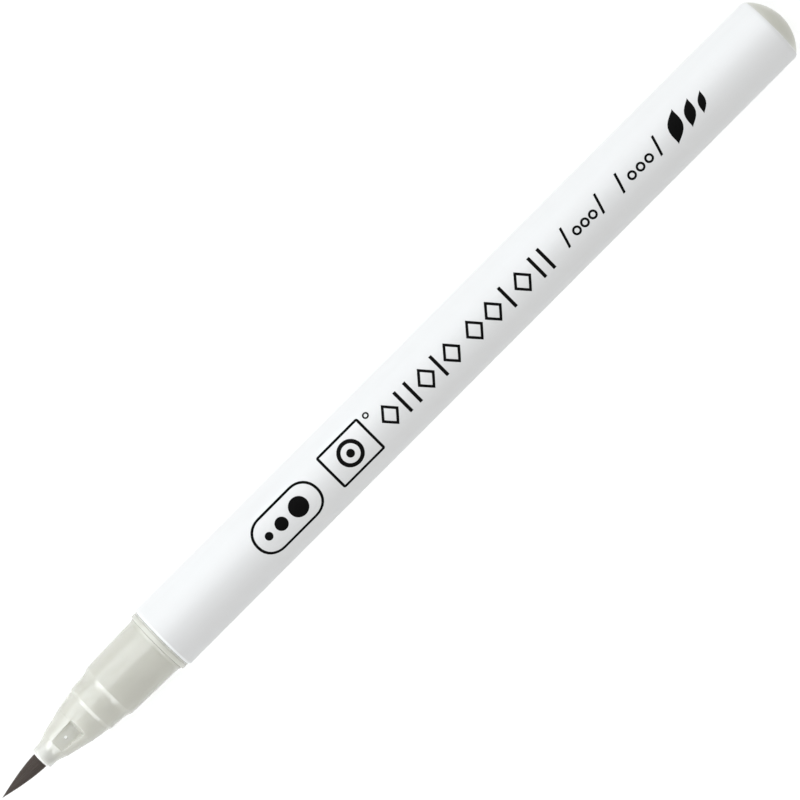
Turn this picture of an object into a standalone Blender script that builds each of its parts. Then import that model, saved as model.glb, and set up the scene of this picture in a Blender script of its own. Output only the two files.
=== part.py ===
"""Uncapped brush marker, lying on its side.

Metres, +Z up. The pen's axis runs along X with the brush tip towards -X and the end plug towards
+X. The origin is under the middle of the pen, on the surface that the barrel rests on. Lengths
along the pen are stations, measured from the brush tip. Round pieces have an even number of
flats, and every radius is measured to a flat.
"""

from math import acos, cos, pi, radians, sin, sqrt

import bmesh
import bpy
from mathutils import Matrix, Vector

# Overall
PEN_LENGTH = 0.1381
BARREL_RADIUS = 0.0048
GAP = 0.0001  # left between pieces that touch on the real pen
SIDES = 24  # flats round every turned piece, so that the barrel lies still on one of them

# Barrel: a thin tube with four ribs that hold the ink reservoir
BARREL_FRONT = 0.0283
BARREL_REAR = 0.1361
BARREL_WALL = 0.0008
BARREL_REAR_RADIUS = 0.00454
FRONT_CHAMFER = 0.00024
REAR_ROUND_LENGTH = 0.0007
RIB_FRONT = 0.0424
RIB_REAR = 0.1275
RIB_HEIGHT = 0.00022
RIB_WIDTH = 0.0008
RIB_COUNT = 4

# Front section: nose, cone, stepped ring, grip, collar and the skirt inside the barrel
NOSE_FRONT = 0.0070
NOSE_RADIUS = 0.0015
NOSE_FLARE = 0.00825
CONE_FRONT = 0.0095
CONE_FRONT_RADIUS = 0.00203
CONE_EDGE = 0.0130
CONE_EDGE_RADIUS = 0.00292
STEP_FRONT = 0.0154
STEP_FRONT_RADIUS = 0.0033
STEP_REAR = 0.01585
STEP_RADIUS = 0.00354
RING_REAR = 0.01825
RING_REAR_RADIUS = 0.00363
GRIP_FRONT = 0.0190
GRIP_FRONT_RADIUS = 0.0040
GRIP_REAR = 0.0272
GRIP_REAR_RADIUS = 0.0042
COLLAR_FRONT = 0.02744
COLLAR_RADIUS = 0.00458
COLLAR_REAR = 0.0282
COLLAR_EDGE = 0.00006
SKIRT_REAR = 0.0418
SKIRT_WALL = 0.0008
SKIRT_SLOT_LENGTH = 0.0030
SKIRT_SLOT_WIDTH = 0.0010
MOUTH_BORE = 0.0013
SEAT_FRONT = 0.0142
SEAT_BORE = 0.00235
SEAT_REAR = 0.0246
HOLDER_CONE_LENGTH = 0.0009

# Two flat-bottomed windows in the cone. The tuft holder has a locating pip, which stands in a hole
# in the floor of one of them.
WINDOW_WIDTH = 0.00225
WINDOW_FLOOR = 0.00185  # height of the floor above the axis
WINDOW_CORNER = 0.0001
WINDOW_TURN = radians(9)
PIP_STATION = 0.0111
PIP_HOLE_RADIUS = 0.00022
PIP_RADIUS = 0.00016

# Tuft holder: a white stepped sleeve whose lip stands out of the nose
HOLDER_LIP = 0.00675
HOLDER_LIP_RADIUS = 0.0012
HOLDER_LIP_BORE = 0.00108
HOLDER_BODY_RADIUS = 0.00225
HOLDER_BODY_BORE = 0.0017
HOLDER_FLANGE_RADIUS = 0.0030
HOLDER_FLANGE = 0.0008

# Bristle tuft
TUFT_LENGTH = 0.00675
TUFT_RADIUS = 0.00106
TUFT_FULLNESS = 1.5
TUFT_NECK_RADIUS = 0.00103
TUFT_HEEL_FRONT = 0.0136
TUFT_HEEL_WIDE = 0.0149
TUFT_HEEL_REAR = 0.0172
TUFT_HEEL_RADIUS = 0.0016
SWAY_PIVOT = 0.0056
BEND_PIVOT = 0.0036
LOWER_FRONT = 0.0044
CURVE_STEPS = 7

# Ink feed
FEED_RADIUS = 0.0008
FEED_FRONT = 0.0112
FEED_TAPER = 0.0015
FEED_POINT_RADIUS = 0.0003
FEED_REAR = 0.0520
BUSH_REAR = 0.0240
RESERVOIR_FRONT = 0.0420
RESERVOIR_REAR = 0.1281
RESERVOIR_RADIUS = 0.00345
FILM_WALL = 0.0001

# End plug: a domed end with a hollow skirt
PLUG_SHOULDER = 0.1362
PLUG_SKIRT_FRONT = 0.1283
PLUG_FLOOR = 0.1354
PLUG_SKIRT_WALL = 0.0007
EDGE = 0.0002  # chamfer on the skirts' leading edges

BARREL_BORE = BARREL_RADIUS - BARREL_WALL
SKIRT_RADIUS = BARREL_BORE - GAP
SKIRT_BORE = SKIRT_RADIUS - SKIRT_WALL
PEN_MIDDLE = PEN_LENGTH / 2


def finish(name, colour, roughness, alpha=1.0):
    """A plain material for one sub-part."""
    material = bpy.data.materials.new(name)
    material.use_nodes = True
    shader = material.node_tree.nodes["Principled BSDF"]
    shader.inputs["Base Color"].default_value = (*colour, 1.0)
    shader.inputs["Roughness"].default_value = roughness
    shader.inputs["Alpha"].default_value = alpha
    return material


def add_empty(name, parent, station):
    """An empty on the pen's axis; every piece hangs from one."""
    empty = bpy.data.objects.new(name, None)
    empty.empty_display_size = 0.003
    empty["station"] = station
    if parent is None:
        empty.location = (station - PEN_MIDDLE, 0, BARREL_RADIUS)
    else:
        empty.parent = parent
        empty.location = (station - parent["station"], 0, 0)
    bpy.context.collection.objects.link(empty)
    return empty


def add_object(name, bm, parent, material=None):
    """Turns a bmesh into a named object under its empty, shaded smooth between its edges."""
    mesh = bpy.data.meshes.new(name)
    bm.to_mesh(mesh)
    bm.free()
    mesh.shade_smooth()
    mesh.set_sharp_from_angle(angle=radians(30))
    obj = bpy.data.objects.new(name, mesh)
    if material:
        mesh.materials.append(material)
    obj.parent = parent
    bpy.context.collection.objects.link(obj)
    return obj


def turned(name, outline, parent, material):
    """Spins a closed outline of (station, radius) points round the pen's axis."""
    bm = bmesh.new()
    to_corner = 1 / cos(pi / SIDES)
    direction = Vector((0, sin(pi / SIDES), cos(pi / SIDES)))
    points = [
        bm.verts.new(Vector((station - parent["station"], 0, 0)) + direction * radius * to_corner)
        for station, radius in outline
    ]
    edges = [bm.edges.new((a, b)) for a, b in zip(points, points[1:] + points[:1])]
    bmesh.ops.spin(
        bm, geom=points + edges, cent=(0, 0, 0), axis=(1, 0, 0), angle=2 * pi, steps=SIDES, use_merge=True
    )
    bmesh.ops.remove_doubles(bm, verts=bm.verts, dist=1e-7)
    on_axis = [e for e in bm.edges if not e.link_faces]
    bmesh.ops.delete(bm, geom=on_axis, context="EDGES")
    bmesh.ops.recalc_face_normals(bm, faces=bm.faces)
    return add_object(name, bm, parent, material)


def block(name, low, high, turn, parent, corner=0.0):
    """A box round the pen's axis, turned about it, with its upright edges rounded."""
    bm = bmesh.new()
    size = Vector(high) - Vector(low)
    middle = (Vector(high) + Vector(low)) / 2
    bmesh.ops.create_cube(bm, size=1, matrix=Matrix.Translation(middle) @ Matrix.Diagonal((*size, 1)))
    if corner:
        upright = [e for e in bm.edges if abs(e.verts[0].co.z - e.verts[1].co.z) > size.z / 2]
        bmesh.ops.bevel(bm, geom=upright, offset=corner, segments=2, affect="EDGES", profile=0.5)
    bmesh.ops.rotate(bm, verts=bm.verts, cent=(0, 0, 0), matrix=Matrix.Rotation(turn, 3, "X"))
    return add_object(name, bm, parent)


def pin(name, radius, low, high, parent):
    """A round pin that stands on the pen's axis in the middle of the front window."""
    bm = bmesh.new()
    middle = Matrix.Translation((PIP_STATION - parent["station"], 0, (low + high) / 2))
    bmesh.ops.create_cone(
        bm, cap_ends=True, segments=12, radius1=radius, radius2=radius, depth=high - low, matrix=middle
    )
    bmesh.ops.rotate(bm, verts=bm.verts, cent=(0, 0, 0), matrix=Matrix.Rotation(WINDOW_TURN, 3, "X"))
    return add_object(name, bm, parent)


def combine(target, tool, operation):
    """Cuts or joins a guide solid, which stays out of the model."""
    tool.hide_render = True
    tool.display_type = "WIRE"
    boolean = target.modifiers.new(tool.name, "BOOLEAN")
    boolean.operation = operation
    boolean.solver = "EXACT"
    boolean.object = tool


def tuft_radius(station):
    """The full, pointed outline of the bristles."""
    return TUFT_RADIUS * (1 - (1 - station / TUFT_LENGTH) ** TUFT_FULLNESS)


def bristle_segment(name, front, pivot, parent, material):
    """A stretch of the tuft with a round back that turns about its own pivot."""
    ball = tuft_radius(pivot)
    steps = range(CURVE_STEPS + 1)
    outline = [(front, 0.0)]
    for i in steps:
        station = front + (pivot - front) * i / CURVE_STEPS
        if tuft_radius(station) > 0:
            outline.append((station, tuft_radius(station)))
    for i in steps[1:-1]:
        turn = pi / 2 * i / CURVE_STEPS
        outline.append((pivot + ball * sin(turn), ball * cos(turn)))
    outline.append((pivot + ball, 0.0))
    return turned(name, outline, parent, material)


def make_barrel(parent):
    """White printed tube, chamfered in front and rounded at its rear edge."""
    rear_drop = BARREL_RADIUS - BARREL_REAR_RADIUS
    outline = [
        (BARREL_FRONT, BARREL_BORE),
        (BARREL_FRONT, BARREL_RADIUS - FRONT_CHAMFER),
        (BARREL_FRONT + FRONT_CHAMFER, BARREL_RADIUS),
    ]
    for i in range(5):
        turn = pi / 2 * i / 4
        outline.append(
            (
                BARREL_REAR - REAR_ROUND_LENGTH * (1 - sin(turn)),
                BARREL_RADIUS - rear_drop * (1 - cos(turn)),
            )
        )
    outline.append((BARREL_REAR, BARREL_BORE))
    barrel = turned("barrel", outline, parent, finish("barrel_white", (0.9, 0.92, 0.93), 0.3))
    for i in range(RIB_COUNT):
        rib = block(
            f"guide_rib_{i + 1}",
            (RIB_FRONT - parent["station"], -RIB_WIDTH / 2, BARREL_BORE - RIB_HEIGHT),
            (RIB_REAR - parent["station"], RIB_WIDTH / 2, BARREL_BORE + BARREL_WALL / 2),
            2 * pi * (i + 0.5) / RIB_COUNT,
            parent,
        )
        combine(barrel, rib, "UNION")
    return barrel


def make_front_section(parent):
    """Tinted clear front moulding, from the nose to the skirt that is pressed into the barrel."""
    outline = [
        (NOSE_FRONT, MOUTH_BORE),
        (NOSE_FRONT, NOSE_RADIUS - COLLAR_EDGE),
        (NOSE_FRONT + COLLAR_EDGE, NOSE_RADIUS),
        (NOSE_FLARE, NOSE_RADIUS + COLLAR_EDGE),
        (CONE_FRONT, CONE_FRONT_RADIUS),
        (CONE_EDGE, CONE_EDGE_RADIUS),
        (STEP_FRONT, STEP_FRONT_RADIUS),
        (STEP_REAR, STEP_RADIUS),
        (RING_REAR, RING_REAR_RADIUS),
        (GRIP_FRONT, GRIP_FRONT_RADIUS),
        (GRIP_REAR, GRIP_REAR_RADIUS),
        (COLLAR_FRONT, GRIP_REAR_RADIUS + COLLAR_EDGE),
        (COLLAR_FRONT, COLLAR_RADIUS - COLLAR_EDGE),
        (COLLAR_FRONT + COLLAR_EDGE, COLLAR_RADIUS),
        (COLLAR_REAR, COLLAR_RADIUS),
        (COLLAR_REAR, SKIRT_RADIUS),
        (SKIRT_REAR - EDGE, SKIRT_RADIUS),
        (SKIRT_REAR, SKIRT_RADIUS - EDGE),
        (SKIRT_REAR, SKIRT_BORE),
        (SEAT_REAR, SKIRT_BORE),
        (SEAT_REAR, SEAT_BORE),
        (SEAT_FRONT, SEAT_BORE),
        (SEAT_FRONT - HOLDER_CONE_LENGTH, MOUTH_BORE),
    ]
    section = turned(
        "front_section", outline, parent, finish("tinted_plastic", (0.55, 0.55, 0.5), 0.25)
    )
    for i in range(2):
        window = block(
            f"window_{i + 1}",
            (CONE_FRONT - parent["station"], -WINDOW_WIDTH / 2, WINDOW_FLOOR),
            (CONE_EDGE - parent["station"], WINDOW_WIDTH / 2, BARREL_RADIUS),
            WINDOW_TURN + pi * i,
            parent,
            corner=WINDOW_CORNER,
        )
        combine(section, window, "DIFFERENCE")
    slot = block(
        "skirt_slot",
        (SKIRT_REAR - SKIRT_SLOT_LENGTH - parent["station"], -SKIRT_SLOT_WIDTH / 2, -BARREL_RADIUS),
        (SKIRT_REAR + EDGE - parent["station"], SKIRT_SLOT_WIDTH / 2, BARREL_RADIUS),
        0.0,
        parent,
    )
    combine(section, slot, "DIFFERENCE")
    hole = pin("pip_hole", PIP_HOLE_RADIUS, HOLDER_LIP_RADIUS, STEP_RADIUS, parent)
    combine(section, hole, "DIFFERENCE")
    return section


def make_tuft_holder(parent):
    """White sleeve, pushed in from behind until its flange meets the section's seat."""
    outline = [
        (HOLDER_LIP, HOLDER_LIP_BORE),
        (HOLDER_LIP, HOLDER_LIP_RADIUS),
        (SEAT_FRONT - HOLDER_CONE_LENGTH + GAP, HOLDER_LIP_RADIUS),
        (SEAT_FRONT + GAP, HOLDER_BODY_RADIUS),
        (SEAT_REAR + GAP, HOLDER_BODY_RADIUS),
        (SEAT_REAR + GAP, HOLDER_FLANGE_RADIUS),
        (SEAT_REAR + GAP + HOLDER_FLANGE, HOLDER_FLANGE_RADIUS),
        (SEAT_REAR + GAP + HOLDER_FLANGE, HOLDER_BODY_BORE),
        (TUFT_HEEL_WIDE, HOLDER_BODY_BORE),
        (TUFT_HEEL_FRONT, HOLDER_LIP_BORE),
    ]
    holder = turned("tuft_holder", outline, parent, finish("holder_white", (0.86, 0.86, 0.84), 0.35))
    pip = pin("locating_pip", PIP_RADIUS, HOLDER_LIP_BORE + GAP / 2, WINDOW_FLOOR - GAP / 2, parent)
    combine(holder, pip, "UNION")
    return holder


def make_tuft_root(parent, material):
    """The bristles inside the holder, melted together at their heel round the feed rod."""
    rod_bore = FEED_RADIUS + GAP / 2
    outline = [
        (HOLDER_LIP, 0.0),
        (HOLDER_LIP, TUFT_NECK_RADIUS),
        (TUFT_HEEL_FRONT + GAP, TUFT_NECK_RADIUS),
        (TUFT_HEEL_WIDE + GAP, TUFT_HEEL_RADIUS),
        (TUFT_HEEL_REAR, TUFT_HEEL_RADIUS),
        (TUFT_HEEL_REAR, rod_bore),
        (FEED_FRONT + FEED_TAPER, rod_bore),
        (FEED_FRONT - GAP, FEED_POINT_RADIUS + GAP / 2),
        (FEED_FRONT - GAP, 0.0),
    ]
    return turned("tuft_root", outline, parent, material)


def make_feed_rod(parent):
    """Porous rod that carries ink from the reservoir into the tuft."""
    outline = [
        (FEED_FRONT, 0.0),
        (FEED_FRONT, FEED_POINT_RADIUS),
        (FEED_FRONT + FEED_TAPER, FEED_RADIUS),
        (FEED_REAR - EDGE, FEED_RADIUS),
        (FEED_REAR, FEED_RADIUS - EDGE),
        (FEED_REAR, 0.0),
    ]
    return turned("feed_rod", outline, parent, finish("feed_fibre", (0.8, 0.78, 0.73), 0.9))


def make_feed_bush(parent):
    """Short bush behind the tuft: it backs the heel and centres the feed rod."""
    front = TUFT_HEEL_REAR + GAP
    outline = [
        (front, FEED_RADIUS + GAP / 2),
        (front, HOLDER_BODY_BORE - GAP),
        (BUSH_REAR - EDGE, HOLDER_BODY_BORE - GAP),
        (BUSH_REAR, HOLDER_BODY_BORE - GAP - EDGE),
        (BUSH_REAR, FEED_RADIUS + GAP / 2),
    ]
    return turned("feed_bush", outline, parent, finish("bush_white", (0.82, 0.82, 0.8), 0.4))


def make_reservoir(parent):
    """Fibre bundle with a socket for the feed rod, in its thin film wrap."""
    socket = FEED_RADIUS + GAP / 2
    outline = [
        (RESERVOIR_FRONT, socket),
        (RESERVOIR_FRONT, RESERVOIR_RADIUS),
        (RESERVOIR_REAR, RESERVOIR_RADIUS),
        (RESERVOIR_REAR, 0.0),
        (FEED_REAR + GAP, 0.0),
        (FEED_REAR + GAP, socket),
    ]
    fibre = finish("reservoir_fibre", (0.78, 0.77, 0.74), 0.95)
    turned("reservoir_fibre", outline, parent, fibre)
    inner = RESERVOIR_RADIUS + GAP
    outline = [
        (RESERVOIR_FRONT, inner),
        (RESERVOIR_FRONT, inner + FILM_WALL),
        (RESERVOIR_REAR, inner + FILM_WALL),
        (RESERVOIR_REAR, inner),
    ]
    film = finish("reservoir_film", (0.85, 0.87, 0.88), 0.15, alpha=0.5)
    turned("reservoir_film", outline, parent, film)


def make_end_plug(parent):
    """Tinted plug: a shallow dome over a hollow skirt that is pressed into the barrel."""
    rise = PEN_LENGTH - PLUG_SHOULDER
    dome = (BARREL_REAR_RADIUS**2 + rise**2) / (2 * rise)
    half_angle = acos((dome - rise) / dome)
    outline = [(PLUG_FLOOR, 0.0), (PLUG_FLOOR, SKIRT_RADIUS - PLUG_SKIRT_WALL)]
    outline += [
        (PLUG_SKIRT_FRONT, SKIRT_RADIUS - PLUG_SKIRT_WALL),
        (PLUG_SKIRT_FRONT, SKIRT_RADIUS - EDGE),
        (PLUG_SKIRT_FRONT + EDGE, SKIRT_RADIUS),
        (PLUG_SHOULDER, SKIRT_RADIUS),
    ]
    for i in range(CURVE_STEPS + 1):
        turn = half_angle * (1 - i / CURVE_STEPS)
        outline.append((PEN_LENGTH - dome * (1 - cos(turn)), dome * sin(turn)))
    return turned("end_plug", outline, parent, finish("plug_plastic", (0.5, 0.5, 0.44), 0.3))


def main():
    for old in list(bpy.data.objects):
        bpy.data.objects.remove(old, do_unlink=True)

    pen = add_empty("pen_axis", None, PEN_MIDDLE)
    front = add_empty("section_slide", pen, COLLAR_REAR)
    sway = add_empty("tuft_sway_pivot", front, SWAY_PIVOT)
    bend = add_empty("tuft_bend_pivot", sway, BEND_PIVOT)
    plug = add_empty("plug_slide", pen, PLUG_SHOULDER)

    make_barrel(pen)
    make_reservoir(pen)
    make_front_section(front)
    make_tuft_holder(front)
    make_feed_bush(front)
    make_feed_rod(front)
    bristles = finish("bristles", (0.09, 0.07, 0.065), 0.6)
    make_tuft_root(front, bristles)
    bristle_segment("bristles_lower", LOWER_FRONT, SWAY_PIVOT, sway, bristles)
    bristle_segment("bristles_tip", 0.0, BEND_PIVOT, bend, bristles)
    make_end_plug(plug)


main()
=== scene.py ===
# Brush marker, uncapped and lying on its side: the visual model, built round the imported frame
import math
import random

import bpy
from mathutils import Euler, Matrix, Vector


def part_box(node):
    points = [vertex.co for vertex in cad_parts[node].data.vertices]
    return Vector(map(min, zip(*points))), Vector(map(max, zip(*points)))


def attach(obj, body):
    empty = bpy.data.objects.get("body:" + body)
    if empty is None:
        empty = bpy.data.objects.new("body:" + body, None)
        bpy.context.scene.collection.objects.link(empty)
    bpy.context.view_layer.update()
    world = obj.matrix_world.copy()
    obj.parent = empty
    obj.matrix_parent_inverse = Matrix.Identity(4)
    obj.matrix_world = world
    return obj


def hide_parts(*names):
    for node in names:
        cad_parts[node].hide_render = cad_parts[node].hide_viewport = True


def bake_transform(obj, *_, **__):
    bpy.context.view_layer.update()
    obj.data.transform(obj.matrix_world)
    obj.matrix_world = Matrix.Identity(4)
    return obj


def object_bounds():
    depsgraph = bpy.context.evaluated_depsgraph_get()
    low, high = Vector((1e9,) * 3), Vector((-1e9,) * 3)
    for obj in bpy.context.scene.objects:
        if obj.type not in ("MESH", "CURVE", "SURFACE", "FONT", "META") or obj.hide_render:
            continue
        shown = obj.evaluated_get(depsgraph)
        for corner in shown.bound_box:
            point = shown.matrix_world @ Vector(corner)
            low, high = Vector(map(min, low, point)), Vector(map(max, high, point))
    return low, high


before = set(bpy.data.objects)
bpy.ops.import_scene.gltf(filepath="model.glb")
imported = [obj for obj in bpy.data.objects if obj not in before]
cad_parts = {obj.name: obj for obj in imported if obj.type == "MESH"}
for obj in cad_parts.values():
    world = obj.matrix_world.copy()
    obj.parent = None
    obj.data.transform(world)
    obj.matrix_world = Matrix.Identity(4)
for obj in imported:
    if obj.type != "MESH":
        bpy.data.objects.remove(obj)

mm = 0.001
cadLow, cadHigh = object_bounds()
tipX = cadLow.x                                     # stations are counted from the brush tip
axisZ = (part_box("barrel")[0].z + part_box("barrel")[1].z) / 2


def span(node):
    # front station, rear station and radius of a round CAD node, in mm
    low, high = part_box(node)
    return (low.x - tipX) / mm, (high.x - tipX) / mm, (high.z - low.z) / 2 / mm


def place(station, across=0.0, up=0.0):
    # a point given by its station, and its distances from the pen's axis, in mm
    return Vector((tipX + station * mm, across * mm, axisZ + up * mm))


def clearSelection():
    if bpy.context.mode != "OBJECT":
        bpy.ops.object.mode_set(mode="OBJECT")
    bpy.ops.object.select_all(action="DESELECT")


def pick(piece):
    clearSelection()
    bpy.context.view_layer.objects.active = piece
    piece.select_set(True)


def named(name):
    piece = bpy.context.active_object
    piece.name = piece.data.name = name
    return piece


def settle(piece):
    # puts the piece's place into its mesh
    pick(piece)
    bpy.ops.object.transform_apply(location=True, rotation=True, scale=True)
    return piece


def applied(piece, kind, **settings):
    pick(piece)
    modifier = piece.modifiers.new(kind, kind)
    for key, value in settings.items():
        setattr(modifier, key, value)
    bpy.ops.object.modifier_apply(modifier=modifier.name)
    return piece


def smooth(piece):
    # smooth sides, crisp edges, and flats that stay flat next to small rounds
    pick(piece)
    bpy.ops.object.shade_smooth_by_angle(angle=math.radians(32))
    return applied(piece, "WEIGHTED_NORMAL", keep_sharp=True)


def carve(piece, tool, operation="DIFFERENCE"):
    settle(tool)
    applied(piece, "BOOLEAN", operation=operation, solver="EXACT", object=tool)
    bpy.data.objects.remove(tool, do_unlink=True)
    return piece


def softened(outline, steps=4):
    # rounds the corners of an outline whose points carry a third value, their rounding in mm
    points = []
    count = len(outline)
    for i, corner in enumerate(outline):
        here = Vector(corner[:2])
        if len(corner) < 3:
            points.append(here)
            continue
        before = Vector(outline[i - 1][:2]) - here
        after = Vector(outline[(i + 1) % count][:2]) - here
        start = here + before.normalized() * corner[2]
        end = here + after.normalized() * corner[2]
        for k in range(steps + 1):
            t = k / steps
            points.append(start * (1 - t) ** 2 + here * 2 * t * (1 - t) + end * t ** 2)
    return points


def turned(name, outline, steps=128):
    # draws an outline of (station, radius) points in mm and spins it round the pen's axis
    points = [place(p[0], 0, p[1]) for p in outline]
    if outline[0][1] > 0:
        points.append(points[0])                    # a hollow piece's outline closes on itself
    clearSelection()
    bpy.ops.mesh.primitive_plane_add(size=mm, location=points[0])
    piece = named(name)
    bpy.ops.object.mode_set(mode="EDIT")
    bpy.ops.mesh.merge(type="CENTER")
    for before, after in zip(points, points[1:]):
        bpy.ops.mesh.extrude_region_move(TRANSFORM_OT_translate={"value": after - before})
    bpy.ops.mesh.select_all(action="SELECT")
    bpy.ops.mesh.remove_doubles(threshold=1e-7)
    bpy.ops.mesh.spin(steps=steps, angle=math.tau, center=(0, 0, axisZ), axis=(1, 0, 0))
    bpy.ops.mesh.select_all(action="SELECT")
    bpy.ops.mesh.remove_doubles(threshold=1e-7)
    bpy.ops.mesh.delete_loose()
    bpy.ops.mesh.select_all(action="SELECT")
    bpy.ops.mesh.normals_make_consistent(inside=False)
    return settle(piece)


def boxTool(low, high, turn, corner=0.0, flare=1.0):
    # a box that stands round the pen's axis, in mm, turned about it; its upright edges can be rounded,
    # and its top can be wider than its floor
    size = (Vector(high) - Vector(low)) * mm
    middle = (Vector(low) + Vector(high)) / 2
    middle.rotate(Euler((turn, 0, 0)))
    clearSelection()
    bpy.ops.mesh.primitive_cube_add(size=1, location=place(*middle), rotation=(turn, 0, 0))
    tool = named("boxTool")
    tool.scale = size
    bpy.ops.object.transform_apply(location=False, rotation=False, scale=True)
    if corner:
        for edge in tool.data.edges:
            a, b = (tool.data.vertices[v].co for v in edge.vertices)
            edge.select = abs(a.z - b.z) > size.z / 2
        bpy.ops.object.mode_set(mode="EDIT")
        bpy.ops.mesh.select_mode(type="EDGE")
        bpy.ops.mesh.bevel(offset=corner * mm, segments=5)
        bpy.ops.mesh.select_mode(type="VERT")
        bpy.ops.object.mode_set(mode="OBJECT")
    for vertex in tool.data.vertices:
        if vertex.co.z > 0:
            vertex.co.y *= flare
            vertex.co.x += (flare - 1) * size.y / 2 * (1 if vertex.co.x > 0 else -1)
    return settle(tool)


def rodTool(station, turn, radius, low, high, edge=0.0):
    # a round pin that stands on the pen's axis, from one height to another, turned about the axis
    middle = Vector((station, 0, (low + high) / 2))
    middle.rotate(Euler((turn, 0, 0)))
    clearSelection()
    bpy.ops.mesh.primitive_cylinder_add(
        vertices=32, radius=radius * mm, depth=(high - low) * mm,
        location=place(*middle), rotation=(turn, 0, 0)
    )
    tool = settle(named("rodTool"))
    if edge:
        applied(tool, "BEVEL", width=edge * mm, segments=3)
    return tool


class Wire:
    # a shader socket that takes part in Python sums
    def __init__(self, tree, socket=None):
        self.tree, self.socket = tree, socket

    def node(self, kind, settings=None, inputs=None, output=0):
        made = self.tree.nodes.new("ShaderNode" + kind)
        for key, value in (settings or {}).items():
            setattr(made, key, value)
        for key, value in (inputs or {}).items():
            if isinstance(value, Wire):
                self.tree.links.new(value.socket, made.inputs[key])
            else:
                made.inputs[key].default_value = value
        return Wire(self.tree, made.outputs[output])

    def maths(self, operation, *values):
        return self.node("Math", {"operation": operation}, dict(enumerate(values)))

    def mix(self, a, b):
        # this wire fades colour a into colour b
        a, b = [(*c, 1) if isinstance(c, tuple) else c for c in (a, b)]
        return self.node("Mix", {"data_type": "RGBA"}, {0: self, 6: a, 7: b}, output=2)

    def __add__(self, other):
        return self.maths("ADD", self, other)

    def __radd__(self, other):
        return self.maths("ADD", other, self)

    def __mul__(self, other):
        return self.maths("MULTIPLY", self, other)

    def __rmul__(self, other):
        return self.maths("MULTIPLY", other, self)


def newFinish(name, **constants):
    # a material, and two tools: a wire to start from, and a function that feeds its shader
    material = bpy.data.materials.new(name)
    material.use_nodes = True
    tree = material.node_tree
    shader = tree.nodes["Principled BSDF"]
    for key, value in constants.items():
        shader.inputs[key.replace("_", " ")].default_value = value

    def feed(**wires):
        for key, wire in wires.items():
            tree.links.new(wire.socket, shader.inputs[key.replace("_", " ")])

    return material, Wire(tree), feed


def grain(start, stretch, scale, detail=3.0, roughness=0.55):
    # noise on the piece's own place, drawn out along the axes by stretch; scale is in grains per mm
    here = start.node("TexCoord", output=3)
    drawn = start.node("Mapping", {"vector_type": "POINT"}, {"Vector": here, "Scale": stretch})
    return start.node(
        "TexNoise", {}, {"Vector": drawn, "Scale": scale / mm, "Detail": detail, "Roughness": roughness}
    )


def bumped(start, height, depth, strength=1.0):
    return start.node("Bump", {}, {"Height": height, "Distance": depth * mm, "Strength": strength})


def barrelFinish():
    look = {"white": (0.675, 0.685, 0.692), "warm": (0.64, 0.642, 0.645), "gloss": 0.5}
    material, start, feed = newFinish("barrelFinish", Specular_IOR_Level=0.3)
    cloud = grain(start, (0.3, 1, 1), 0.25)
    flow = grain(start, (0.04, 1, 1), 2.2)          # faint moulding flow along the tube
    peel = grain(start, (1, 1, 1), 3.0, detail=2.0)
    tone = cloud * 0.65 + flow * 0.35
    feed(
        Base_Color=tone.mix(look["warm"], look["white"]),
        Roughness=look["gloss"] - 0.04 + 0.08 * flow,
        Normal=bumped(start, peel, 0.003),
    )
    return material


def inkFinish():
    material, start, feed = newFinish("inkFinish", Specular_IOR_Level=0.01)
    speck = grain(start, (1, 1, 1), 9.0)
    feed(
        Base_Color=speck.mix((0.002, 0.002, 0.002), (0.006, 0.006, 0.006)),
        Roughness=0.5 + 0.15 * speck,
    )
    return material


def tintFinish(name, deep, pale, gloss, clear):
    # tinted, slightly cloudy moulded plastic, with painted shade that darkens its colour where it is seen
    # edge on
    look = {"paintedEdgeShade": (0.34, 0.34, 0.30), "paintedEdgeShadeShare": 0.45}
    material, start, feed = newFinish(
        name, IOR=1.49, Specular_IOR_Level=0.38, Subsurface_Weight=clear, Subsurface_Radius=(1, 1, 1),
        Subsurface_Scale=2.5 * mm,
    )
    cloud = grain(start, (0.5, 1, 1), 0.5)
    flow = grain(start, (0.12, 1, 1), 3.0)
    peel = grain(start, (1, 1, 1), 4.0, detail=2.0)
    tone = cloud * 0.6 + flow * 0.4
    # painted shade: a facing mask that darkens the colour towards the edges turned away from the eye
    paintedEdgeShade = start.node("LayerWeight", {}, {"Blend": 0.4}, output=1)
    feed(
        Base_Color=(paintedEdgeShade * look["paintedEdgeShadeShare"]).mix(tone.mix(deep, pale), look["paintedEdgeShade"]),
        Roughness=gloss - 0.03 + 0.06 * flow,
        Normal=bumped(start, peel, 0.003),
    )
    return material


def holderFinish():
    material, start, feed = newFinish("holderFinish")
    cloud = grain(start, (1, 1, 1), 1.2)
    feed(
        Base_Color=cloud.mix((0.78, 0.78, 0.76), (0.88, 0.88, 0.87)),
        Roughness=0.3 + 0.1 * cloud,
        Normal=bumped(start, cloud, 0.003),
    )
    return material


def bristleFinish():
    material, start, feed = newFinish("bristleFinish", Specular_IOR_Level=0.12)
    streak = grain(start, (0.05, 1, 1), 9.0, detail=4.0)
    cloud = grain(start, (0.4, 1, 1), 1.4)
    tone = streak * 0.7 + cloud * 0.3
    feed(
        Base_Color=tone.mix((0.0405, 0.031, 0.026), (0.085, 0.068, 0.0595)),
        Roughness=0.42 + 0.25 * streak,
        Normal=bumped(start, streak, 0.006),
    )
    return material


def fibreFinish(name, dark, light, fineness, depth):
    # drawn fibres that run along the pen
    material, start, feed = newFinish(name, Specular_IOR_Level=0.2)
    strand = grain(start, (0.03, 1, 1), fineness, detail=5.0, roughness=0.7)
    cloud = grain(start, (0.3, 1, 1), 0.6)
    tone = strand * 0.75 + cloud * 0.25
    feed(
        Base_Color=tone.mix(dark, light),
        Roughness=0.75 + 0.2 * strand,
        Normal=bumped(start, strand, depth),
    )
    return material


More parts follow.
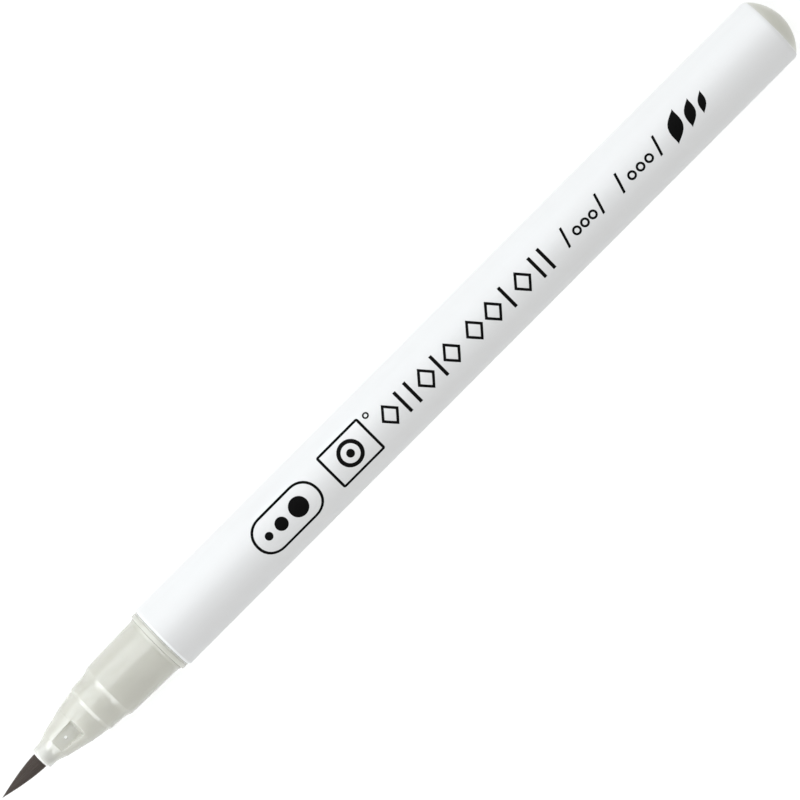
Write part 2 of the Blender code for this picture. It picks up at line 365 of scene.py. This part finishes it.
def filmFinish():
    material, start, feed = newFinish("filmFinish", Alpha=0.4)
    crease = grain(start, (0.08, 1, 1), 1.5)
    feed(
        Base_Color=crease.mix((0.80, 0.82, 0.84), (0.92, 0.93, 0.94)),
        Roughness=0.08 + 0.12 * crease,
        Normal=bumped(start, crease, 0.02),
    )
    return material


finishes = {
    "barrel": barrelFinish(),
    "ink": inkFinish(),
    "section": tintFinish("sectionFinish", (0.51, 0.51, 0.463), (0.55, 0.55, 0.502), 0.16, 0.85),
    "plug": tintFinish("plugFinish", (0.485, 0.485, 0.43), (0.525, 0.525, 0.47), 0.3, 0.85),
    "holder": holderFinish(),
    "bristle": bristleFinish(),
    "feed": fibreFinish("feedFinish", (0.55, 0.52, 0.46), (0.83, 0.81, 0.76), 14.0, 0.01),
    "reservoir": fibreFinish("reservoirFinish", (0.36, 0.35, 0.31), (0.66, 0.65, 0.60), 10.0, 0.02),
    "film": filmFinish(),
}
print("finishes made:", len(finishes))


def finished(piece, finish, slot, body, *nodes):
    # gives a piece its finish, its body and the CAD nodes that it stands for
    piece.data.materials.clear()
    piece.data.materials.append(finishes[finish])
    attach(piece, body)
    if nodes:
        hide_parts(*nodes)
    return piece


barrelFront, barrelRear, barrelRadius = span("barrel")
barrel = {
    "wall": 0.8,
    "frontChamfer": 0.24, "frontChamferLength": 0.31,
    "rearRadius": 4.54, "rearRound": 0.7, "rearSteps": 8,
    "ribCount": 4, "ribWidth": 0.8, "ribHeight": 0.22, "ribFront": 42.4, "ribRear": 127.5,
    "inkHeight": 0.006,                             # the tube is this much thinner, so the print fits
}
tubeRadius = barrelRadius - barrel["inkHeight"]
barrelBore = barrelRadius - barrel["wall"]


def makeBarrel():
    drop = tubeRadius - barrel["rearRadius"]
    outline = [
        (barrelFront, barrelBore, 0.08),
        (barrelFront, tubeRadius - barrel["frontChamfer"], 0.06),
        (barrelFront + barrel["frontChamferLength"], tubeRadius, 0.05),
    ]
    outline = softened(outline + [(barrelRear, tubeRadius), (barrelRear, barrelBore)])[:-2]
    for i in range(barrel["rearSteps"] + 1):
        turn = math.pi / 2 * i / barrel["rearSteps"]
        outline.append(Vector((
            barrelRear - barrel["rearRound"] * (1 - math.sin(turn)),
            tubeRadius - drop * (1 - math.cos(turn)),
        )))
    outline.append(Vector((barrelRear, barrelBore)))
    tube = turned("barrelTube", outline)
    for i in range(barrel["ribCount"]):
        rib = boxTool(
            (barrel["ribFront"], -barrel["ribWidth"] / 2, barrelBore - barrel["ribHeight"]),
            (barrel["ribRear"], barrel["ribWidth"] / 2, barrelBore + barrel["wall"] / 2),
            math.tau * (i + 0.5) / barrel["ribCount"],
        )
        carve(tube, rib, "UNION")
    smooth(tube)
    return finished(tube, "barrel", "barrel_white", "barrel_body", "barrel")


makeBarrel()
print("barrel made")

# the print: generic marks, laid out flat in mm as (station, up, length, height), wrapped round the tube
ink = {
    "turn": math.radians(5.0),                      # the layout's middle, away from the top of the barrel
    "depth": 0.004,                                 # how far the marks reach into the tube
    "slice": 0.25, "sliceCount": 25,
    "line": 0.36,
    "badgeRound": 2.6, "frameRound": 0.35,
    "badge": (50.125, -0.08, 10.75, 5.4),
    "badgeDiscs": [(46.9, -0.08, 1.1), (49.1, -0.08, 1.8), (52.1, -0.08, 2.7)],
    "frame": (61.375, 0.0, 7.25, 5.55),
    "frameRing": (61.375, 0.05, 3.6, 3.6),
    "frameDot": (61.375, 0.05, 1.1, 1.1),
    "cornerDot": (66.0, 2.1, 0.9, 0.9),
    "wideRow": {
        "diamonds": [68.25, 74.6, 79.1, 83.1, 86.4, 91.6],
        "bars": [70.5, 72.2, 76.85, 88.9, 94.1, 95.7],
        "up": -0.05, "height": 3.4, "diamondLength": 2.9, "barLength": 0.46,
    },
    "fineRow": {
        "bars": [99.2, 105.2, 108.8, 115.4],
        "dots": [100.9, 102.3, 103.7, 110.6, 112.1, 113.6],
        "up": 0.1, "height": 2.66, "barLength": 0.36, "lean": 0.3,
        "dotUp": -0.3, "dotSize": 1.25, "dotLine": 0.3,
    },
    "dabs": [(118.7, 0.15, 4.6, 2.0), (121.2, 0.1, 3.8, 1.5), (123.2, 0.0, 3.0, 1.05)],
    "dabTurn": math.radians(58),
}
# the marks start as circles with so many corners, of such a radius, turned so far
outlines = {"block": (4, math.sqrt(0.5), math.pi / 4), "diamond": (4, 0.5, 0.0), "disc": (28, 0.5, 0.0)}


def flatMark(kind, spot, rounding=0.0, line=0.0, lean=0.0, turn=0.0, pointed=False):
    station, up, length, height = spot
    corners, radius, start = outlines[kind]
    clearSelection()
    bpy.ops.mesh.primitive_circle_add(
        vertices=corners, radius=radius, fill_type="NGON", rotation=(0, 0, start)
    )
    flat = settle(named("mark"))
    flat.scale = (length * mm, height * mm, 1)
    settle(flat)
    bpy.ops.object.mode_set(mode="EDIT")
    bpy.ops.mesh.select_all(action="SELECT")
    if rounding:
        bpy.ops.mesh.bevel(affect="VERTICES", offset=rounding * mm, segments=8)
        bpy.ops.mesh.select_all(action="SELECT")
    if line:
        bpy.ops.mesh.inset(thickness=line * mm)
        bpy.ops.mesh.delete(type="FACE")
    bpy.ops.object.mode_set(mode="OBJECT")
    for vertex in flat.data.vertices:
        vertex.co.x += lean * vertex.co.y
        if pointed:
            vertex.co.y *= 1 - (2 * vertex.co.x / (length * mm)) ** 2
    flat.rotation_euler.z = turn
    flat.location = (station * mm, up * mm, 0)
    return settle(flat)


def makePrint():
    line = ink["line"]
    wide, fine = ink["wideRow"], ink["fineRow"]
    marks = [
        flatMark("block", ink["badge"], rounding=ink["badgeRound"], line=line),
        flatMark("block", ink["frame"], rounding=ink["frameRound"], line=line),
        flatMark("disc", ink["frameRing"], line=line * 1.5),
        flatMark("disc", ink["frameDot"]),
        flatMark("disc", ink["cornerDot"], line=line * 0.6),
    ]
    for station, up, size in ink["badgeDiscs"]:
        marks.append(flatMark("disc", (station, up, size, size)))
    for station in wide["diamonds"]:
        spot = (station, wide["up"], wide["diamondLength"], wide["height"])
        marks.append(flatMark("diamond", spot, line=line))
    for station in wide["bars"]:
        marks.append(flatMark("block", (station, wide["up"], wide["barLength"], wide["height"])))
    for station in fine["bars"]:
        spot = (station, fine["up"], fine["barLength"], fine["height"])
        marks.append(flatMark("block", spot, lean=fine["lean"]))
    for station in fine["dots"]:
        spot = (station, fine["dotUp"], fine["dotSize"], fine["dotSize"])
        marks.append(flatMark("disc", spot, line=fine["dotLine"]))
    for spot in ink["dabs"]:
        marks.append(flatMark("disc", spot, turn=ink["dabTurn"], pointed=True))
    pick(marks[0])
    for mark in marks:
        mark.select_set(True)
    bpy.ops.object.join()
    sheet = named("barrelPrint")

    # narrow slices follow the tube when the sheet is wrapped
    bpy.ops.object.mode_set(mode="EDIT")
    for i in range(ink["sliceCount"]):
        up = (i - ink["sliceCount"] // 2) * ink["slice"]
        bpy.ops.mesh.select_all(action="SELECT")
        bpy.ops.mesh.bisect(plane_co=(0, up * mm, 0), plane_no=(0, 1, 0))
    bpy.ops.object.mode_set(mode="OBJECT")
    applied(sheet, "SOLIDIFY", thickness=(ink["depth"] + barrel["inkHeight"]) * mm, offset=1)
    for vertex in sheet.data.vertices:
        along, up, height = vertex.co / mm
        angle = up / tubeRadius - ink["turn"]
        reach = tubeRadius - ink["depth"] + height
        vertex.co = place(along, reach * math.sin(angle), reach * math.cos(angle))
    smooth(sheet)
    return finished(sheet, "ink", "print_ink", "barrel_body")


makePrint()
print("print made")

noseFront, skirtRear, collarRadius = span("front_section")
section = {
    "mouthBore": 1.3, "seatNeck": 13.3, "seatFront": 14.2, "seatRear": 24.6, "seatBore": 2.35,
    "skirtBore": 3.1,
    "noseRadius": 1.5, "coneFront": 8.25, "coneFrontRadius": 1.58, "coneRear": 15.4, "coneRearRadius": 3.3,
    "ringFront": 15.88, "ringFrontRadius": 3.54, "ringRear": 18.25, "ringRearRadius": 3.63,
    "gripFront": 19.0, "gripFrontRadius": 4.0, "gripRear": 27.0, "gripRearRadius": 4.2,
    "collarFront": 27.44, "collarRear": 28.28, "grooveDepth": 0.07,
    "windowFront": 9.5, "windowRear": 12.85, "windowWidth": 1.95, "windowFloor": 1.85,
    "windowFlare": 2.1, "windowCorner": 0.1, "windowTurn": math.radians(9),
    "pipStation": 11.1, "pipHole": 0.22, "pipRadius": 0.16, "pipTop": 1.8, "pipEdge": 0.03,
    "slotLength": 3.0, "slotWidth": 1.0,
}
skirtRadius = barrelBore - 0.1


def makeSection():
    collarFront, collarRear = section["collarFront"], section["collarRear"]
    grooveRadius = collarRadius - section["grooveDepth"]
    outline = softened([
        (noseFront, section["mouthBore"], 0.04),
        (noseFront, section["noseRadius"], 0.07),
        (section["coneFront"], section["coneFrontRadius"], 0.35),
        (9.4, 1.99, 0.04),                          # two faint steps, at the ends of the window
        (9.47, 2.05, 0.04),
        (12.95, 2.9, 0.03),
        (13.03, 2.95, 0.04),
        (section["coneRear"], section["coneRearRadius"], 0.03),
        (section["ringFront"], section["ringFrontRadius"], 0.05),
        (section["ringRear"], section["ringRearRadius"], 0.65),
        (section["gripFront"], section["gripFrontRadius"], 0.09),
        (section["gripRear"], section["gripRearRadius"], 0.12),
        (collarFront - 0.1, 4.34, 0.06),            # a bead, then a narrow groove against the collar
        (collarFront - 0.03, section["gripRearRadius"]),
        (collarFront, section["gripRearRadius"]),
        (collarFront, collarRadius, 0.07),
        (collarRear - 0.26, collarRadius, 0.05),
        (collarRear - 0.23, grooveRadius),
        (collarRear - 0.18, grooveRadius),
        (collarRear - 0.15, collarRadius, 0.05),
        (collarRear, collarRadius, 0.06),
        (collarRear, skirtRadius, 0.05),
        (skirtRear, skirtRadius, 0.2),
        (skirtRear, section["skirtBore"], 0.08),
        (section["seatRear"], section["skirtBore"]),
        (section["seatRear"], section["seatBore"]),
        (section["seatFront"], section["seatBore"]),
        (section["seatNeck"], section["mouthBore"]),
    ])
    shell = turned("sectionShell", outline)
    for i in range(2):
        carve(shell, boxTool(
            (section["windowFront"], -section["windowWidth"] / 2, section["windowFloor"]),
            (section["windowRear"], section["windowWidth"] / 2, barrelRadius),
            section["windowTurn"] + math.pi * i, section["windowCorner"], section["windowFlare"],
        ))
    carve(shell, boxTool(
        (skirtRear - section["slotLength"], -section["slotWidth"] / 2, -barrelRadius),
        (skirtRear + 1, section["slotWidth"] / 2, barrelRadius), 0.0,
    ))
    carve(shell, rodTool(section["pipStation"], section["windowTurn"], section["pipHole"], 1.0, 2.5))
    smooth(shell)
    return finished(shell, "section", "section_tint", "section_body", "front_section")


makeSection()
print("front section made")

holder = {
    "bore": 1.08, "lip": 1.2, "waist": 2.25, "wideBore": 1.7,
    "heelFront": 13.6, "heelWide": 14.9, "coneFront": 13.4, "coneRear": 14.3, "flange": 0.8,
}


def makeHolder():
    lipFront, flangeRear, flangeRadius = span("tuft_holder")
    sleeve = turned("tuftSleeve", softened([
        (lipFront, holder["bore"], 0.03),
        (lipFront, holder["lip"], 0.05),
        (holder["coneFront"], holder["lip"], 0.3),
        (holder["coneRear"], holder["waist"], 0.2),
        (flangeRear - holder["flange"], holder["waist"]),
        (flangeRear - holder["flange"], flangeRadius, 0.08),
        (flangeRear, flangeRadius, 0.08),
        (flangeRear, holder["wideBore"], 0.08),
        (holder["heelWide"], holder["wideBore"]),
        (holder["heelFront"], holder["bore"]),
    ]), 96)
    carve(sleeve, rodTool(
        section["pipStation"], section["windowTurn"], section["pipRadius"],
        (holder["bore"] + holder["lip"]) / 2, section["pipTop"], section["pipEdge"],
    ), "UNION")
    smooth(sleeve)
    return finished(sleeve, "holder", "holder_white", "section_body", "tuft_holder")


makeHolder()
print("tuft holder made")


inner = {"rodHole": 0.85, "rodTip": 0.3, "rodTaper": 1.5, "rodClearance": 0.1, "filmWall": 0.1}


def makeInnerPieces():
    bushFront, bushRear, bushRadius = span("feed_bush")
    bush = turned("feedBush", softened([
        (bushFront, inner["rodHole"], 0.05),
        (bushFront, bushRadius, 0.08),
        (bushRear, bushRadius, 0.2),
        (bushRear, inner["rodHole"], 0.1),
    ]), 64)
    smooth(bush)
    finished(bush, "holder", "holder_white", "section_body", "feed_bush")

    rodFront, rodRear, rodRadius = span("feed_rod")
    rod = turned("feedRod", softened([
        (rodFront, 0.0),
        (rodFront, inner["rodTip"], 0.08),
        (rodFront + inner["rodTaper"], rodRadius, 0.2),
        (rodRear, rodRadius, 0.15),
        (rodRear, 0.0),
    ]), 64)
    smooth(rod)
    finished(rod, "feed", "feed_fibre", "section_body", "feed_rod")

    fibreFront, fibreRear, fibreRadius = span("reservoir_fibre")
    bundle = turned("reservoirBundle", softened([
        (fibreFront, inner["rodHole"], 0.1),
        (fibreFront, fibreRadius, 0.15),
        (fibreRear, fibreRadius, 0.15),
        (fibreRear, 0.0),
        (rodRear + inner["rodClearance"], 0.0),
        (rodRear + inner["rodClearance"], inner["rodHole"]),
    ]), 96)
    smooth(bundle)
    finished(bundle, "reservoir", "reservoir_fibre", "barrel_body", "reservoir_fibre")

    filmRadius = span("reservoir_film")[2]
    film = turned("reservoirWrap", softened([
        (fibreFront, filmRadius - inner["filmWall"], 0.02),
        (fibreFront, filmRadius, 0.02),
        (fibreRear, filmRadius, 0.02),
        (fibreRear, filmRadius - inner["filmWall"], 0.02),
    ]), 96)
    smooth(film)
    finished(film, "film", "reservoir_film", "barrel_body", "reservoir_film")


makeInnerPieces()
print("inner pieces made")


plug = {"wall": 0.7, "hollowEnd": 135.4, "seam": 0.01, "domeSteps": 20}


def makePlug():
    skirtFront, apex, domeRadius = span("end_plug")
    shoulder = barrelRear + plug["seam"]
    hollow = skirtRadius - plug["wall"]
    rise = apex - shoulder
    ball = (domeRadius ** 2 + rise ** 2) / (2 * rise)
    half = math.acos((ball - rise) / ball)
    outline = softened([
        (plug["hollowEnd"], 0.0),
        (plug["hollowEnd"], hollow, 0.3),
        (skirtFront, hollow, 0.1),
        (skirtFront, skirtRadius, 0.2),
        (shoulder, skirtRadius, 0.05),
        (shoulder, domeRadius),
    ])
    for i in range(plug["domeSteps"]):
        turn = half * (1 - (i + 1) / plug["domeSteps"])
        outline.append(Vector((apex - ball * (1 - math.cos(turn)), ball * math.sin(turn))))
    dome = turned("endPlug", outline)
    smooth(dome)
    return finished(dome, "plug", "plug_tint", "plug_body", "end_plug")


makePlug()
print("end plug made")

tuft = {
    "length": span("tuft_holder")[0], "radius": 1.075,
    "fullness": 1.58,                               # how round the taper is: 1 is a plain cone
    "rings": [(0.985, 60), (0.88, 50), (0.74, 42), (0.62, 34), (0.5, 26), (0.36, 18), (0.2, 10), (0.0, 1)],
    "rootStation": 8.0, "split": 4.2, "bendEnd": 1.6,
    "strand": 0.062, "stretches": 9, "thinning": 0.82,
    "core": 0.84, "coreRoot": 0.85,
    "coreLower": (5.0, 6.0, 6.75), "coreTip": (0.5, 1.0, 1.6, 2.3, 3.1),
    "coreTipEnd": 0.25,
    "endWidth": 1.0, "endFlare": 13.7, "endSeat": 15.0,
    "socketNeck": 11.1, "socketNeckRadius": 0.35, "socketWide": 12.7, "socketRadius": 0.85,
    "seed": 7,
}


def tuftRadius(station):
    share = max(0.0, min(1.0, station / tuft["length"]))
    return tuft["radius"] * (1 - (1 - share) ** tuft["fullness"])


def makeStrand():
    # one filament, modelled once: a five-sided rod of unit length
    clearSelection()
    bpy.ops.mesh.primitive_circle_add(vertices=5, radius=1, fill_type="NGON")
    strand = named("strand")
    bpy.ops.object.mode_set(mode="EDIT")
    bpy.ops.mesh.select_all(action="SELECT")
    for i in range(tuft["stretches"]):
        bpy.ops.mesh.extrude_region_move(TRANSFORM_OT_translate={"value": (0, 0, 1 / tuft["stretches"])})
    bpy.ops.mesh.select_all(action="SELECT")
    bpy.ops.mesh.normals_make_consistent(inside=False)
    bpy.ops.object.mode_set(mode="OBJECT")
    return strand


def layStrand(strand, hair, start, end):
    # bends a copy of the filament into its place between two stations of the tuft
    for vertex in strand.data.vertices:
        station = start + (end - start) * vertex.co.z
        along = (tuft["rootStation"] - station) / (tuft["rootStation"] - hair["tip"])
        thick = tuft["strand"] * (1 - tuft["thinning"] * along ** 2.5)
        reach = max(0.0, tuftRadius(station) - thick) * hair["depth"]
        around = hair["around"] + hair["sway"] * along
        turn = math.atan2(vertex.co.y, vertex.co.x) + around
        size = thick * math.hypot(vertex.co.x, vertex.co.y)
        vertex.co = place(
            station,
            reach * math.sin(around) + size * math.sin(turn),
            reach * math.cos(around) + size * math.cos(turn),
        )


def makeTuft():
    draw = random.Random(tuft["seed"])
    pattern = makeStrand()
    hairs = []
    for share, count in tuft["rings"]:
        for i in range(count):
            hairs.append({
                "around": math.tau * (i + draw.uniform(-0.3, 0.3)) / count + share * 3,
                "depth": share * draw.uniform(0.97, 1.03),
                "tip": 0.0 if share < 0.3 else draw.uniform(0.0, 1.0) ** 2 * 3.2 * share,
                "sway": draw.uniform(-0.06, 0.06),
            })

    # the real tuft bends about two places; here it is made in two lengths, which meet at the split station
    rootStation, split = tuft["rootStation"], tuft["split"]
    halves = {}
    for name in ("bristlesLower", "bristlesTip"):
        lower = name == "bristlesLower"
        stations = (split, *tuft["coreLower"]) if lower else (*tuft["coreTip"], split)
        outline = [(split if lower else tuft["coreTipEnd"], 0.0)]
        outline += [(station, tuftRadius(station) * tuft["core"]) for station in stations]
        outline += [(rootStation, tuft["coreRoot"]), (rootStation, 0.0)] if lower else [(split, 0.0)]
        core = turned(name, outline, 48)
        strands = []
        for hair in hairs:
            strand = pattern.copy()
            strand.data = pattern.data.copy()
            bpy.context.collection.objects.link(strand)
            if lower:
                layStrand(strand, hair, rootStation, split)
            else:
                layStrand(strand, hair, split, hair["tip"])
            strands.append(strand)
        pick(core)
        for strand in strands:
            strand.select_set(True)
        bpy.ops.object.join()
        bpy.ops.object.shade_smooth_by_angle(angle=math.radians(75))
        core.data.materials.clear()
        core.data.materials.append(finishes["bristle"])
        halves[name] = core
    bpy.data.objects.remove(pattern, do_unlink=True)
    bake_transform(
        halves["bristlesLower"], "section_body", "tuft_lower", start=place(tuft["length"]), end=place(split)
    )
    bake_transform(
        halves["bristlesTip"], "tuft_lower", "tuft_tip", start=place(split), end=place(tuft["bendEnd"])
    )
    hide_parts("bristles_lower")
    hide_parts("bristles_tip")

    rootFront, rootRear, rootRadius = span("tuft_root")
    root = turned("tuftRoot", softened([
        (rootFront, 0.0),
        (rootFront, tuft["endWidth"], 0.05),
        (tuft["endFlare"], tuft["endWidth"], 0.3),
        (tuft["endSeat"], rootRadius, 0.3),
        (rootRear, rootRadius, 0.1),
        (rootRear, tuft["socketRadius"]),
        (tuft["socketWide"], tuft["socketRadius"]),
        (tuft["socketNeck"], tuft["socketNeckRadius"]),
        (tuft["socketNeck"], 0.0),
    ]), 64)
    smooth(root)
    finished(root, "bristle", "bristle_brown", "section_body", "tuft_root")


makeTuft()
print("bristle tuft made")


def softBox(name, light):
    # a wide lamp that looks at the pen
    spot = Vector(light[name + "Spot"])
    aim = (-spot).to_track_quat("-Z", "Y")
    clearSelection()
    bpy.ops.object.light_add(type="AREA", location=spot, rotation=aim.to_euler())
    lamp = bpy.context.active_object
    lamp.name = name + "Light"
    lamp.data.shape = "RECTANGLE"
    lamp.data.size, lamp.data.size_y = light[name + "Size"]
    lamp.data.energy = light[name + "Power"]
    lamp.data.color = light["lampTint"]
    lamp.visible_camera = False
    return lamp


def makeStage():
    light = {
        "sky": 0.82, "skyTint": (1.0, 0.994, 0.982), "lampTint": (0.935, 0.973, 1.0),
        "gleamSpot": (0.0, 0.386, 0.46), "gleamSize": (1.7, 0.82), "gleamPower": 15.0,
        "endSpot": (-0.55, 0.02, 0.27), "endSize": (1.1, 0.36), "endPower": 9.0,
        "washSpot": (-0.2, 0.4, 0.36), "washSize": (1.5, 0.6), "washPower": 3.5,
        "edgeSpot": (-0.6, 0.0, 0.06), "edgeSize": (0.5, 0.3), "edgePower": 0.9,
    }
    clearSelection()
    bpy.ops.mesh.primitive_plane_add(size=8, location=(0, 0, 0))
    floor = named("floor")
    material, start, feed = newFinish("floorFinish", Specular_IOR_Level=0.0)
    soft = grain(start, (1, 1, 1), 0.02)
    feed(Base_Color=soft.mix((0.97, 0.97, 0.97), (0.98, 0.98, 0.98)), Roughness=0.8 + 0.1 * soft)
    floor.data.materials.append(material)

    world = bpy.data.worlds.new("studio")
    bpy.context.scene.world = world
    world.use_nodes = True
    sky = world.node_tree.nodes["Background"]
    sky.inputs["Color"].default_value = (*light["skyTint"], 1)
    sky.inputs["Strength"].default_value = light["sky"]
    for name in ("gleam", "end"):                   # two lamps that only show as reflections
        lamp = softBox(name, light)
        lamp.visible_diffuse = False
    for name in ("wash", "edge"):                   # two even fills that darken no side of the floor
        lamp = softBox(name, light)
        lamp.data.use_shadow = False
        lamp.data.cycles.use_multiple_importance_sampling = False
        lamp.visible_glossy = False
    bpy.context.scene.view_settings.view_transform = "Standard"


def makeCamera():
    # straight above the pen, turned so that the pen runs up to the right; a long lens, far away
    plan = {"lens": 290, "frameWidth": 100.12, "turn": math.radians(-45.05), "aim": (1.355, -0.04)}
    distance = plan["frameWidth"] * mm * plan["lens"] / 36
    middle = (cadLow + cadHigh) / 2
    bpy.ops.object.camera_add(
        location=(middle.x + plan["aim"][0] * mm, middle.y + plan["aim"][1] * mm, axisZ + distance),
        rotation=(0, 0, plan["turn"]),
    )
    camera = bpy.context.active_object
    camera.data.lens = plan["lens"]
    camera.data.sensor_width = 36
    camera.data.clip_start, camera.data.clip_end = 0.05, 20
    bpy.context.scene.camera = camera


makeStage()
makeCamera()
print("stage made")
